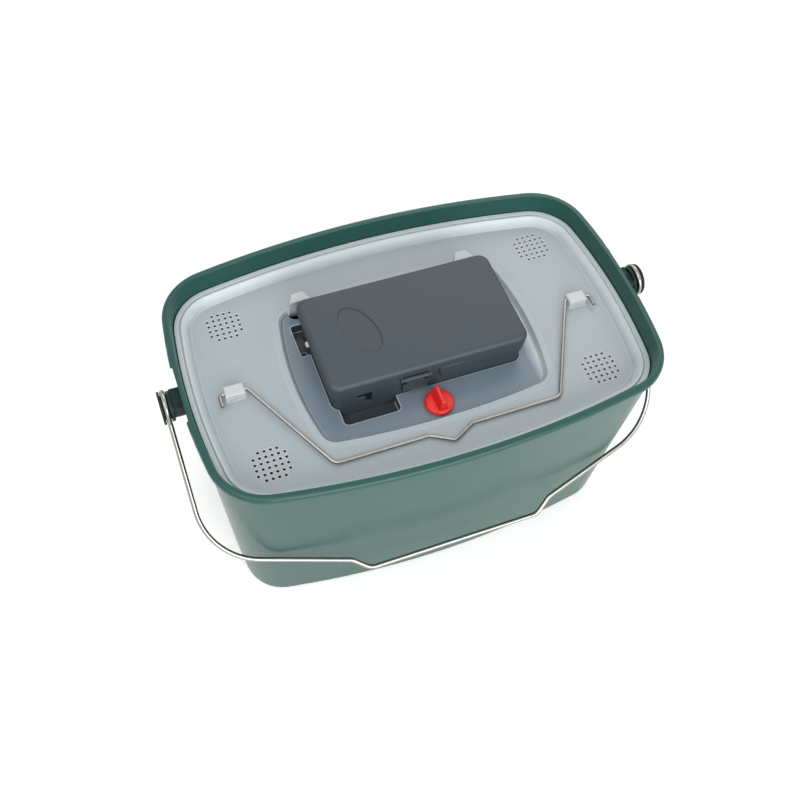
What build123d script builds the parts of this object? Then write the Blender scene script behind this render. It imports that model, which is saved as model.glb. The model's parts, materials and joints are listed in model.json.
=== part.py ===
from build123d import *
from math import acos, atan2, cos, hypot, radians, sin, sqrt, tan
import os

# Live-bait bucket with a drop-in lid and a battery aerator.
# Millimetres, +Z up, origin at the centre of the bucket's underside.
# X runs along the long side, the handles lie towards -Y, which is the front.

# ---------------------------------------------------------------- bucket
bucket_height = 210.0
base_half_x = 175.0
base_half_y = 105.0
base_corner = 35.0
mouth_half_x = 189.0
mouth_half_y = 122.0
mouth_corner = 44.0
long_side_bow = 833.0        # radius of the two long sides in plan
short_side_bow = 515.0       # radius of the two short sides in plan
wall = 2.4
bucket_floor = 3.0
base_round = 6.0
rim_overhang = 3.5
rim_depth = 5.0
rim_outer_round = 3.3
rim_inner_round = 0.8
rim_relief_half = 27.0       # half the stretch of rim cut back at each lug
rim_relief_lip = 1.2
ledge_width = 4.2
ledge_depth = 4.0

# ---------------------------------------------------------------- bail and its lugs
bail_wire = 4.0
bail_stand_out = 14.0        # from the mouth's side to the plane of each wire eye
bail_axis_drop = 15.0        # pivot below the rim's top
bail_eye = 12.0              # radius of the eye's centre line
bail_corner_past = 6.7       # how far the wire's corners pass the mouth
bail_shoulder_past = 45.0    # how far its shoulders do
bail_shoulder_x = 91.0
bail_grip_half = 77.0
bail_grip_offset = 12.0      # from the shoulders out to the grip
bail_corner_radius = 58.0
bail_kink_radius = 12.0
bail_standoff = 15.0         # from the wall to the grip's centre, at rest
eye_clearance = 0.3          # eye round its core, and between the lug's flanges
lug_flange = 13.2            # radius of the outer flange
lug_flange_thickness = 2.0
lug_ring = 12.0              # radius of the ring inside the eye
lug_ring_thickness = 2.8
lug_web_drop = 1.5           # top of the web below the rim's underside

# ---------------------------------------------------------------- lid
lid_drop = 17.0              # lid's edge below the rim's top
lid_flange = 2.2
lid_clearance = 0.8
seat_gap = 0.2
dish_start = 6.5             # inset at which the edge turns down
dish_run = 6.0
dish_depth = 7.0
panel = 2.0
groove_inset = 3.6
groove_width = 1.4
groove_depth = 1.0
recess_half_x = 99.5
recess_half_y = 69.5
recess_corner = 10.0
recess_long_bow = 700.0
recess_short_bow = 260.0
recess_drop = 3.0
recess_slope = 3.6
bead_width = 5.0
bead_height = 1.0
pocket_drop = 10.0
pocket_clearance = 0.8
front_notch_left = 76.9      # from the pump's middle
front_notch_right = 29.8
front_notch_depth = 15.4
front_notch_round = 4.0
side_notch_depth = 8.7
side_notch_low = 12.4
side_notch_high = 44.9
side_notch_round = 2.5
hose_hole = 5.0
vent_centre_x = 139.5
vent_centre_y = 68.9
vent_pitch = 5.0
vent_rows = 6
vent_hole = 2.6
hook_middle = -1.5
hook_spread = 73.5           # from their middle to each hook
hook_height = 16.0
hook_front_half = 9.2        # half widths at the top, front and back
hook_back_half = 5.0
hook_depth = 9.5
hook_flare = 2.0             # how much wider the foot is
hook_gap = 9.6               # from the pump's back wall to the hook
hook_hole_depth = 6.6        # hole in the floor in front of each hook
lug_inset = 4.0              # from a hook's middle to the pump's lug
socket_radius = 2.8
socket_depth = 4.5

# ---------------------------------------------------------------- lid handle
handle_wire = 2.8
handle_axis_rise = 5.0       # pivot above the panel
handle_pivot_x = 139.5
handle_corner_x = 94.5
handle_reach = 85.4
handle_nose_half = 18.5
handle_nose = 10.0
handle_corner_radius = 7.0
handle_nose_radius = 4.0
handle_end_x = 161.5
handle_end_leg = 11.0
handle_rest_gap = 0.3        # grip above the panel at rest
bridge_inset = 1.8           # from the wire's bend to the bridge
bridge_length = 16.0
bridge_width = 10.4
bridge_height = 8.0
bridge_round = 1.4
bore_clearance = 0.08

# ---------------------------------------------------------------- aerator shells
pump_x = 1.5
pump_y = 8.3
pump_half_x = 85.0
pump_half_y = 47.2
pump_corner = 9.0
pump_height = 40.5
cover_height = 16.0
cover_taper = 1.6            # how far its two sides draw in, down to the seam
seam = 0.2
cover_round = 4.6
housing_side_inset = 4.0     # from the cover's widest outline
housing_front_inset = 0.8
shoulder_inset = 0.6         # the housing's wider top, from the cover's lower outline
shoulder_height = 2.0
shell_wall = 2.2
shell_floor = 2.0
thumb_x = -43.5
thumb_y = 2.0
thumb_half_x = 13.5
thumb_half_y = 25.4
thumb_turn = 15.0            # degrees
thumb_depth = 0.9
partition_x = 7.5            # from the pump's middle
partition = 2.0
rear_lug_radius = 2.4
rear_lug_bite = 3.0          # how far the pump's rear lugs reach into the hooks
pad_left = 7.8               # tongue of the cover, from the pump's middle
pad_width = 18.3
pad_rise = 6.5               # above the seam
pad_drop = 4.5               # below the seam
pad_proud = 0.5
pad_gap = 0.2                # from the housing's front
slit_width = 1.3
slit_depth = 0.9

# ---------------------------------------------------------------- cover hinge and latch
hinge_pin = 2.4
hinge_offset = 2.9           # axis behind the cover's back
hinge_rise = 2.5             # axis above the seam
hinge_centre = 51.0
hinge_knuckle = 2.6
hinge_eye_width = 11.0
hinge_ear_width = 6.0
hinge_side_gap = 0.3
latch_x = -14.3
latch_width = 21.2
latch_low = 3.9              # from the recess floor to the latch's lower edge
latch_axis_rise = 6.3        # from the cover's edge up to the latch's pin
latch_barrel = 1.7
latch_plate = 1.6
latch_lip = 0.5
latch_lip_width = 14.0
latch_gap = 0.3              # from the cover's front to the flap
latch_side_gap = 0.3
latch_pin = 1.8
latch_ear = 1.8
latch_window = 2.6
latch_window_height = 3.6
latch_window_margin = 0.6    # from the flap's side
latch_window_drop = 2.0      # below the barrel
catch_height = 5.0           # from the flap's lower edge to the catch ridge
catch_width = 12.0
catch_ridge = 1.6
catch_gap = 0.35             # from the ridge to the flap
catch_depth = 0.6            # groove of the flap

# ---------------------------------------------------------------- switch
switch_x = -56.1
switch_bar_half = 6.1
switch_bar_low = 19.3        # above the housing's underside, open up to the seam
switch_stem_low = 10.9
switch_stem_width = 5.3
slider_travel = 4.0
slider_length = 6.0
slider_inset = 0.6           # behind the housing's front
slider_clearance = 0.8
slider_headroom = 1.8        # below the housing's top
slider_tail = 2.6            # how far it reaches into the switch
slider_rib = 0.5
switch_margin = 1.5          # of the body past the window
switch_groove = 3.0
switch_body_length = 18.0
switch_body_depth = 7.0

# ---------------------------------------------------------------- cells and contacts
cell_diameter = 34.2
cell_length = 61.5
cell_cap = 9.5
cell_cap_height = 1.8
cell_gap = 0.5               # between the two cells
cell_clearance = 0.3
contact_sheet = 0.5
contact_margin = 5.0         # from a cell's side to its plate's edge
spring_wire = 1.0
spring_radius = 7.5
spring_turns = 4.5
tail_rise = 8.0              # contact tails above the housing's inner floor
tail_width = 3.0
tail_reach = 2.8
tail_slack = 0.1
cradle_inset = 15.0          # from the bay's ends to the cradle ribs

# ---------------------------------------------------------------- pump mechanism
mechanism_y = 20.0           # from the pump's middle
motor_x = -10.5
motor_diameter = 24.0
motor_length = 32.0
motor_boss = 8.0
motor_boss_length = 2.0
motor_gap = 7.0              # from the can to the eccentric
motor_axis_rise = 20.0       # above the housing's inner floor
shaft_diameter = 2.0
shaft_in_motor = 5.0
shaft_past = 2.0             # beyond the eccentric
throw = 1.2
yoke_play = 0.8              # at the yoke's sides
yoke_slip = 1.3              # above and below the eccentric's path
eccentric_diameter = 8.0
eccentric_width = 5.0
arm_pivot_x = -67.5
arm_thickness = 4.0
arm_width = 8.0
hub_diameter = 8.0
arm_pin = 3.0
yoke_wall = 2.2
hub_step = 2.0               # how far the hub stands out beside the arm
post_width = 3.0
post_half = 4.0
post_gap = 0.3
bite = 0.5                   # how far joined shapes run into each other
chamber_x = -41.5
chamber_half = 13.0
chamber_height = 12.0
chamber_bore = 9.5
chamber_floor = 3.0
chamber_corner = 3.0
chamber_screw_inset = 2.4
diaphragm_radius = 12.0
diaphragm_thickness = 1.0
diaphragm_rise = 2.6
diaphragm_skin = 1.2
flap_radius = 3.6
flap_spread = 4.4
flap_thickness = 0.8
nozzle_diameter = 4.9
nozzle_bore = 2.4
nozzle_proud = 2.4
nozzle_shoulder = 6.4        # where it passes through the housing's wall
nozzle_flange = 9.0
spigot_length = 5.0
tube_wall = 1.2
clamp_sheet = 1.2
clamp_width = 10.0
clamp_foot = 9.0
clamp_hole = 5.0             # from the strap to its screw
screw_head = 5.0
screw_head_height = 1.8
screw_shank = 2.5
screw_slack = 0.1
small_screw_head = 4.0
small_screw_height = 1.4
lead_diameter = 1.6
lead_rise = 2.2              # above the housing's inner floor
lead_spread = 4.0            # half the distance between the switch's leads
terminal_spread = 5.0        # half the distance between the motor's leads
terminal_drop = 4.5          # below the motor's axis
lead_bend = 5.0              # how far the leads turn before the motor
lead_room = 3.8              # from the motor's clamp
lead_largest_bend = 6.0

# ---------------------------------------------------------------- turn button
button_x = 1.5
button_y = -57.6
button_radius = 12.0
button_round = 2.4
button_thickness = 4.4
button_gap = 0.3
button_shaft = 4.0
fin_height = 9.2             # above the disc
fin_half_length = 8.3
fin_top_half = 1.5
fin_foot_half = 4.6
cam_thickness = 2.6
cam_width = 6.0
cam_boss = 7.0
cam_square = 5.0
cam_clearance = 0.4
button_screw_shank = 2.4
button_screw_head = 6.5

# ---------------------------------------------------------------- places worked out from them
rim_under = bucket_height - rim_depth
bail_plane_x = mouth_half_x + bail_stand_out
bail_axis_z = bucket_height - bail_axis_drop
bail_corner_reach = mouth_half_y + bail_corner_past
bail_shoulder_reach = mouth_half_y + bail_shoulder_past
bail_reach = bail_shoulder_reach + bail_grip_offset
wall_lean = atan2(mouth_half_y - base_half_y, bucket_height)
grip_line = base_half_y + tan(wall_lean) * bail_axis_z + bail_standoff
bail_tilt = wall_lean + acos(grip_line * cos(wall_lean) / bail_reach)
lid_top = bucket_height - lid_drop
panel_top = lid_top - dish_depth
recess_top = panel_top - recess_drop
pocket_top = recess_top - pocket_drop
handle_axis_z = panel_top + handle_axis_rise
pump_bottom = pocket_top
pump_top = pump_bottom + pump_height
seam_z = pump_top - cover_height
housing_top = seam_z - seam
hinge_z = seam_z + hinge_rise
housing_half_x = pump_half_x - housing_side_inset
housing_half_y = pump_half_y - housing_front_inset
housing_corner = pump_corner - housing_front_inset
inner_floor = pump_bottom + shell_floor
inner_left = pump_x - housing_half_x + shell_wall
inner_right = pump_x + housing_half_x - shell_wall
inner_front = pump_y - housing_half_y + shell_wall
inner_back = pump_y + housing_half_y - shell_wall
front_face = pump_y - housing_half_y
cover_front = pump_y - pump_half_y
hinge_y = pump_y + pump_half_y + hinge_offset
mech_y = pump_y + mechanism_y
motor_z = inner_floor + motor_axis_rise
motor_face = mech_y - eccentric_width / 2 - motor_gap
motor_back = motor_face - motor_length
clamp_y = (motor_face + motor_back) / 2
shaft_x = pump_x + motor_x
clamp_screw_x = shaft_x - motor_diameter / 2 - clamp_sheet - clamp_hole
rear_lug_z = recess_top + socket_radius + 1
cam_top = recess_top - panel - button_gap
cam_low = cam_top - cam_thickness
cam_reach = front_face + shell_wall / 2 - button_y
latch_back = cover_front - latch_gap
latch_axis_y = latch_back - latch_barrel
catch_z = recess_top + latch_low + catch_height
latch_axis_z = seam_z + latch_axis_rise


# ---------------------------------------------------------------- shared shapes
def bowed_face(half_x, half_y, corner, long_bow, short_bow, z):
    """A rounded rectangle with bulging sides, as eight tangent arcs at height z."""
    long_centre = (0.0, half_y - long_bow)
    short_centre = (half_x - short_bow, 0.0)
    long_reach = long_bow - corner
    short_reach = short_bow - corner
    dx = short_centre[0] - long_centre[0]
    dy = short_centre[1] - long_centre[1]
    apart = hypot(dx, dy)
    along = (apart**2 + long_reach**2 - short_reach**2) / (2 * apart)
    across = sqrt(long_reach**2 - along**2)
    corner_x = long_centre[0] + (along * dx - across * dy) / apart
    corner_y = long_centre[1] + (along * dy + across * dx) / apart
    if corner_x < 0 or corner_y < 0:
        corner_x = long_centre[0] + (along * dx + across * dy) / apart
        corner_y = long_centre[1] + (along * dy - across * dx) / apart
    top_angle = atan2(corner_y - long_centre[1], corner_x - long_centre[0])
    side_angle = atan2(corner_y - short_centre[1], corner_x - short_centre[0])
    middle = (top_angle + side_angle) / 2
    top = (long_bow * cos(top_angle), long_centre[1] + long_bow * sin(top_angle))
    knee = (corner_x + corner * cos(middle), corner_y + corner * sin(middle))
    side = (short_centre[0] + short_bow * cos(side_angle), short_bow * sin(side_angle))
    arcs = [ThreePointArc((-top[0], top[1]), (0, half_y), top)]
    arcs.append(ThreePointArc(top, knee, side))
    arcs.append(ThreePointArc(side, (half_x, 0), (side[0], -side[1])))
    arcs.append(ThreePointArc((side[0], -side[1]), (knee[0], -knee[1]), (top[0], -top[1])))
    arcs.append(ThreePointArc((top[0], -top[1]), (0, -half_y), (-top[0], -top[1])))
    arcs.append(ThreePointArc((-top[0], -top[1]), (-knee[0], -knee[1]), (-side[0], -side[1])))
    arcs.append(ThreePointArc((-side[0], -side[1]), (-half_x, 0), (-side[0], side[1])))
    arcs.append(ThreePointArc((-side[0], side[1]), (-knee[0], knee[1]), (-top[0], top[1])))
    return Pos(0, 0, z) * make_face(Curve() + arcs)


def wall_face(z, inset=0.0, at=None):
    """The bucket's outer section at height z, moved in by inset, and laid at height `at`."""
    share = z / bucket_height
    return bowed_face(
        base_half_x + share * (mouth_half_x - base_half_x) - inset,
        base_half_y + share * (mouth_half_y - base_half_y) - inset,
        base_corner + share * (mouth_corner - base_corner) - inset,
        long_side_bow - inset,
        short_side_bow - inset,
        z if at is None else at,
    )


def lid_face(inset, z):
    """The lid's outline, which follows the wall at the lid's height."""
    return wall_face(lid_top, wall + lid_clearance + inset, z)


def recess_face(outset, z):
    """The outline of the sunk panel in the middle of the lid."""
    return bowed_face(
        recess_half_x + outset,
        recess_half_y + outset,
        recess_corner + outset,
        recess_long_bow + outset,
        recess_short_bow + outset,
        z,
    )


def between(lower, upper):
    """A straight-sided solid from one outline to the one above it."""
    return loft([lower, upper], ruled=True)


def block(x0, x1, y0, y1, z0, z1):
    """A box by its limits."""
    return Pos((x0 + x1) / 2, (y0 + y1) / 2, (z0 + z1) / 2) * Box(x1 - x0, y1 - y0, z1 - z0)


def rounded_block(x0, x1, y0, y1, z0, z1, corner):
    """A box with rounded upright corners."""
    outline = Pos((x0 + x1) / 2, (y0 + y1) / 2, z0) * RectangleRounded(x1 - x0, y1 - y0, corner)
    return extrude(outline, z1 - z0)


def rod_x(x0, x1, y, z, radius):
    """A cylinder along X."""
    return Pos((x0 + x1) / 2, y, z) * Rot(0, 90, 0) * Cylinder(radius, abs(x1 - x0))


def rod_y(x, y0, y1, z, radius):
    """A cylinder along Y."""
    return Pos(x, (y0 + y1) / 2, z) * Rot(90, 0, 0) * Cylinder(radius, abs(y1 - y0))


def rod_z(x, y, z0, z1, radius):
    """A cylinder along Z."""
    return Pos(x, y, (z0 + z1) / 2) * Cylinder(radius, z1 - z0)


def bent_wire(points, radii, diameter):
    """A round wire along straight runs joined by tangent arcs."""
    path = FilletPolyline(*points, radius=radii)
    return sweep(Plane(path @ 0, z_dir=path % 0) * Circle(diameter / 2), path=path)


def save(shape, name):
    """Write one sub-part as parts/name.step."""
    export_step(shape, f"parts/{name}.step")
    print(name, round(shape.volume))


# ---------------------------------------------------------------- bucket
def make_lug(side):
    """A spool on the short wall: drum, web up to the rim, inner ring and outer flange."""
    wall_x = mouth_half_x - wall
    drum_end = bail_plane_x - bail_wire / 2 - eye_clearance
    flange_start = bail_plane_x + bail_wire / 2 + eye_clearance
    core = bail_eye - bail_wire / 2 - eye_clearance
    web_top = rim_under - lug_web_drop
    lug = rod_x(wall_x, flange_start + bite, 0, bail_axis_z, core)
    lug += block(wall_x, drum_end - lug_ring_thickness, -core, core, bail_axis_z, web_top)
    rounding = lug_flange_thickness / 4
    ring = rod_x(drum_end - lug_ring_thickness, drum_end, 0, bail_axis_z, lug_ring)
    lug += fillet(ring.edges().filter_by(GeomType.CIRCLE), rounding)
    flange = rod_x(flange_start, flange_start + lug_flange_thickness, 0, bail_axis_z, lug_flange)
    lug += fillet(flange.edges().filter_by(GeomType.CIRCLE), rounding)
    return lug if side > 0 else mirror(lug, Plane.YZ)


def make_bucket():
    shell = between(wall_face(0), wall_face(bucket_height))
    shell = fillet(shell.faces().sort_by(Axis.Z)[0].edges(), base_round)
    rim = extrude(wall_face(bucket_height, -rim_overhang, rim_under), rim_depth)
    rim = fillet(rim.faces().sort_by(Axis.Z)[-1].edges(), rim_outer_round)
    for side in (-1, 1):
        relief = block(
            mouth_half_x + rim_relief_lip,
            mouth_half_x + 2 * rim_overhang,
            -rim_relief_half,
            rim_relief_half,
            rim_under - 1,
            bucket_height + 1,
        )
        rim -= relief if side > 0 else mirror(relief, Plane.YZ)
    body = shell + rim + make_lug(1) + make_lug(-1)
    ledge_top = lid_top - lid_flange - seat_gap
    ledge_low = ledge_top - ledge_depth
    cavity = between(wall_face(bucket_floor, wall), wall_face(ledge_low, wall))
    body -= fillet(cavity.faces().sort_by(Axis.Z)[0].edges(), base_round - wall)
    body -= between(wall_face(ledge_low, wall), wall_face(ledge_top, wall + ledge_width))
    body -= between(wall_face(ledge_top, wall), wall_face(bucket_height + 1, wall))
    top_face = body.faces().sort_by(Axis.Z)[-1]
    return fillet(top_face.inner_wires()[0].edges(), rim_inner_round)


def bail_point(x, reach):
    """A point of the bail at rest, by its reach from the pivot axis."""
    return (x, -reach * cos(bail_tilt), bail_axis_z - reach * sin(bail_tilt))


def make_bail():
    half = [
        bail_point(bail_plane_x, bail_eye),
        bail_point(bail_plane_x, bail_corner_reach),
        bail_point(bail_shoulder_x, bail_shoulder_reach),
        bail_point(bail_grip_half, bail_reach),
    ]
    other = [(-x, y, z) for x, y, z in reversed(half)]
    corners = [bail_corner_radius, bail_kink_radius, bail_kink_radius]
    wire = bent_wire(half + other, corners + corners[::-1], bail_wire)
    for side in (-1, 1):
        eye = Rot(0, 90, 0) * Torus(bail_eye, bail_wire / 2)
        wire += Pos(side * bail_plane_x, 0, bail_axis_z) * eye
    return wire


# ---------------------------------------------------------------- lid
def pocket_walls(grow, z0, z1):
    """The pocket that holds the pump, with its two finger notches, grown by `grow`."""
    side = housing_half_x + pocket_clearance + grow
    depth = housing_half_y + pocket_clearance + grow
    corner = housing_corner + pocket_clearance + grow
    solid = rounded_block(
        pump_x - side, pump_x + side, pump_y - depth, pump_y + depth, z0, z1, corner
    )
    solid += rounded_block(
        pump_x - front_notch_left - grow,
        pump_x - front_notch_right + grow,
        front_face - front_notch_depth - grow,
        pump_y,
        z0,
        z1,
        front_notch_round + grow,
    )
    solid += rounded_block(
        pump_x - housing_half_x - side_notch_depth - grow,
        pump_x,
        pump_y + side_notch_low - grow,
        pump_y + side_notch_high + grow,
        z0,
        z1,
        side_notch_round + grow,
    )
    return solid


def vent_holes():
    """Four round-cornered grids of holes: six by six without the corner ones."""
    half = (vent_rows - 1) / 2
    spots = []
    for row in range(vent_rows):
        for column in range(vent_rows):
            at_corner = row in (0, vent_rows - 1) and column in (0, vent_rows - 1)
            if not at_corner:
                spots.append(((column - half) * vent_pitch, (row - half) * vent_pitch))
    drills = []
    for side_x in (-1, 1):
        for side_y in (-1, 1):
            for x, y in spots:
                centre_x = side_x * vent_centre_x + x
                centre_y = side_y * vent_centre_y + y
                low = panel_top - 2 * panel
                drills.append(rod_z(centre_x, centre_y, low, panel_top + 1, vent_hole / 2))
    return drills


def hook_outline(front_half, back_half, depth, z):
    """Plan of a hook, wide at the front and narrow at the back, with its front at y = 0."""
    corners = [(-front_half, 0), (front_half, 0), (back_half, depth), (-back_half, depth)]
    outline = make_face(Polyline(*corners, close=True))
    return Pos(0, 0, z) * fillet(outline.vertices().sort_by(Axis.Y)[2:], back_half / 2)


def hook_place(side):
    """X of a hook, and Y of its front face."""
    return hook_middle + side * hook_spread, pump_y + housing_half_y + hook_gap


def rear_lug_x(side):
    """X of the pump's lug that a hook holds."""
    return hook_middle + side * (hook_spread - lug_inset)


def make_hook(side):
    """A moulded hook over the pump's rear lug."""
    x, front = hook_place(side)
    foot = hook_outline(
        hook_front_half + hook_flare,
        hook_back_half + hook_flare,
        hook_depth + hook_flare,
        recess_top - panel / 2,
    )
    top = hook_outline(hook_front_half, hook_back_half, hook_depth, recess_top + hook_height)
    hook = between(foot, top)
    hook = fillet(hook.faces().sort_by(Axis.Z)[-1].edges(), 1.0)
    return Pos(x, front, 0) * hook


def hook_hole(side):
    """The round-fronted hole in the floor in front of a hook, which leaves room for its tool."""
    x, front = hook_place(side)
    half = hook_front_half + hook_flare
    scale = hook_hole_depth / half
    oval = Pos(x, front, recess_top - 2 * panel) * Ellipse(half, half * scale)
    hole = extrude(oval, 3 * panel)
    return hole & block(x - half, x + half, front - hook_hole_depth, front, 0, bucket_height)


def make_bridge(side):
    """A bridge on the panel that one end of the lid handle turns in."""
    inner = handle_pivot_x + bridge_inset
    bridge = block(
        inner,
        inner + bridge_length,
        -bridge_width / 2,
        bridge_width / 2,
        panel_top - panel / 2,
        panel_top + bridge_height,
    )
    bridge = fillet(bridge.faces().sort_by(Axis.Z)[-1].edges(), bridge_round)
    bore = handle_wire / 2 + bore_clearance
    bridge -= rod_x(inner - 1, inner + bridge_length + 1, 0, handle_axis_z, bore)
    return bridge if side > 0 else mirror(bridge, Plane.YZ)


def make_lid():
    flange_low = lid_top - lid_flange
    panel_low = panel_top - panel
    lid = extrude(lid_face(0, flange_low), lid_flange)
    lid += between(lid_face(dish_start + dish_run - panel, panel_low), lid_face(dish_start - 1, flange_low))
    lid -= between(lid_face(dish_start + dish_run, panel_top), lid_face(dish_start, lid_top))
    groove_low = lid_top - groove_depth
    groove = extrude(lid_face(groove_inset, groove_low), groove_depth + 1)
    groove -= extrude(lid_face(groove_inset + groove_width, groove_low), groove_depth + 1)
    lid -= groove
    bead_top = panel_top + bead_height
    lid += between(
        recess_face(recess_slope + bead_width, panel_top), recess_face(recess_slope + 1.5, bead_top)
    )
    recess_low = recess_top - panel
    lid += between(recess_face(panel, recess_low), recess_face(recess_slope + panel, panel_low))
    lid -= between(recess_face(0, recess_top), recess_face(recess_slope, bead_top))
    lid += pocket_walls(panel, pocket_top - panel, recess_top)
    for side in (-1, 1):
        lid += make_hook(side)
        lid += make_bridge(side)
    lid -= pocket_walls(0, pocket_top, recess_top + 1)
    hose_x = pump_x - housing_half_x - side_notch_depth / 2
    lid -= rod_z(hose_x, mech_y, pocket_top - 2 * panel, pocket_top + 1, hose_hole / 2)
    bore = button_shaft + bore_clearance
    lid -= rod_z(button_x, button_y, recess_top - 2 * panel, recess_top + 1, bore)
    lid -= cam_path(front_face - pocket_clearance - 2 * panel, front_face)
    for side in (-1, 1):
        lid -= hook_hole(side)
        x, front = hook_place(side)
        lid -= rod_y(rear_lug_x(side), front - 1, front + socket_depth, rear_lug_z, socket_radius)
    for drill in vent_holes():
        lid -= drill
    return lid


def handle_point(x, reach):
    """A point of the lid handle at rest, where its grip lies just above the panel."""
    drop = handle_axis_z - panel_top - handle_wire / 2 - handle_rest_gap
    lean = atan2(drop, handle_reach + handle_nose)
    return (x, -reach * cos(lean), handle_axis_z - reach * sin(lean))


def make_lid_handle():
    half = [
        handle_point(handle_end_x, handle_end_leg),
        handle_point(handle_end_x, 0),
        handle_point(handle_pivot_x, 0),
        handle_point(handle_corner_x, handle_reach),
        handle_point(handle_nose_half, handle_reach),
    ]
    nose = [handle_point(0, handle_reach + handle_nose)]
    other = [(-x, y, z) for x, y, z in reversed(half)]
    bends = [handle_wire, handle_wire / 2 + 0.4, handle_corner_radius, handle_nose_radius]
    radii = bends + [handle_nose_radius] + bends[::-1]
    return bent_wire(half + nose + other, radii, handle_wire)


# ---------------------------------------------------------------- turn button
def make_turn_button():
    low = recess_top + button_gap
    top = low + button_thickness
    disc = rod_z(button_x, button_y, low, top, button_radius)
    disc = fillet(disc.faces().sort_by(Axis.Z)[-1].edges(), button_round)
    disc = chamfer(disc.faces().sort_by(Axis.Z)[0].edges(), button_round / 3)
    foot = Pos(0, 0, top - 2) * Rectangle(2 * fin_foot_half, 2 * fin_half_length + 3)
    peak = Pos(0, 0, top + fin_height) * Rectangle(2 * fin_top_half, 2 * fin_half_length)
    fin = between(foot, peak)
    fin = fillet(fin.edges().filter_by(Axis.Z, reverse=True).group_by(Axis.Z)[-1], 1.2)
    shaft = rod_z(button_x, button_y, cam_top, low + 1, button_shaft)
    shaft += Pos(button_x, button_y, (cam_low + cam_top) / 2) * Box(
        cam_square, cam_square, cam_thickness + 0.2
    )
    button = disc + Pos(button_x, button_y, 0) * fin + shaft
    return button - rod_z(button_x, button_y, cam_low - 1, recess_top, button_screw_shank / 2)


def make_button_cam():
    """The arm under the lid that the button swings into the pump's front wall."""
    cam = rod_z(button_x, button_y, cam_low, cam_top, cam_boss)
    arm = block(
        button_x - cam_width / 2, button_x + cam_width / 2, button_y, button_y + cam_reach, cam_low, cam_top
    )
    cam += fillet(arm.edges().filter_by(Axis.Z).group_by(Axis.Y)[-1], 1.2)
    hub = Pos(button_x, button_y, (cam_low + cam_top) / 2)
    return cam - hub * Box(cam_square, cam_square, 2 * cam_thickness)


def cam_path(y0, y1):
    """The room that the cam sweeps between two Y limits, as it turns from locked to free."""
    reach = cam_reach + cam_clearance
    swing = extrude(
        Pos(button_x, button_y, cam_low - cam_clearance) * Circle(reach),
        cam_thickness + button_gap + cam_clearance,
    )
    left = button_x - cam_width / 2 - cam_clearance
    right = button_x + sqrt(reach**2 - (y0 - button_y) ** 2) + cam_width / 2 + cam_clearance
    lane = block(left, right, y0, y1, cam_low - cam_clearance, cam_top + button_gap)
    return lane & swing if y0 > front_face - 1 else lane


def make_button_screw():
    low = cam_low - 0.1
    shank = rod_z(button_x, button_y, low - 0.1, cam_top + 2, button_screw_shank / 2)
    head = rod_z(button_x, button_y, low - 2.0, low, button_screw_head / 2)
    head = fillet(head.faces().sort_by(Axis.Z)[0].edges(), 0.8)
    return shank + head


# ---------------------------------------------------------------- aerator shells
def make_housing():
    body = rounded_block(
        pump_x - housing_half_x,
        pump_x + housing_half_x,
        pump_y - housing_half_y,
        pump_y + housing_half_y,
        pump_bottom,
        housing_top,
        housing_corner,
    )
    shoulder = pump_half_x - cover_taper - shoulder_inset
    body += rounded_block(
        pump_x - shoulder,
        pump_x + shoulder,
        pump_y - housing_half_y,
        pump_y + housing_half_y,
        housing_top - shoulder_height,
        housing_top,
        housing_corner,
    )
    body -= rounded_block(
        inner_left, inner_right, inner_front, inner_back, inner_floor, pump_top, housing_corner - shell_wall
    )
    wall_x = pump_x + partition_x
    body += block(wall_x, wall_x + partition, inner_front, inner_back, inner_floor, housing_top)
    cradle_y = cell_diameter + cell_gap / 2 + cell_clearance + partition / 2
    for side in (-1, 1):
        body += block(
            wall_x + partition + cradle_inset,
            inner_right - cradle_inset,
            pump_y + side * cradle_y - partition / 2,
            pump_y + side * cradle_y + partition / 2,
            inner_floor - bite,
            inner_floor + cell_diameter / 2,
        )
    for y0, y1 in arm_post_spans():
        pivot = pump_x + arm_pivot_x
        post = block(
            pivot - post_half, pivot + post_half, y0, y1, inner_floor - bite, motor_z + post_half
        )
        body += post - rod_y(pivot, y0 - 1, y1 + 1, motor_z, arm_pin / 2)
    body += housing_lugs()
    body += block(
        pump_x + latch_x - catch_width / 2,
        pump_x + latch_x + catch_width / 2,
        latch_back + catch_gap,
        front_face + bite,
        catch_z,
        catch_z + catch_ridge,
    )
    for row_y, cap_end, name in cell_rows():
        tail_z = inner_floor + tail_rise
        body -= block(
            wall_x - 1,
            wall_x + partition + 1,
            row_y - tail_width / 2 - tail_slack,
            row_y + tail_width / 2 + tail_slack,
            tail_z - tail_slack,
            tail_z + contact_sheet + tail_slack,
        )
    passage = nozzle_shoulder / 2 + bore_clearance
    body -= rod_x(inner_left - 2 * shell_wall, inner_left + 1, mech_y, nozzle_z(), passage)
    body -= cam_path(front_face - bite, inner_front + bite)
    body -= pad_slit(front_face, seam_z - pad_drop, seam_z)
    return body - switch_window(shell_wall + 1)


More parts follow.
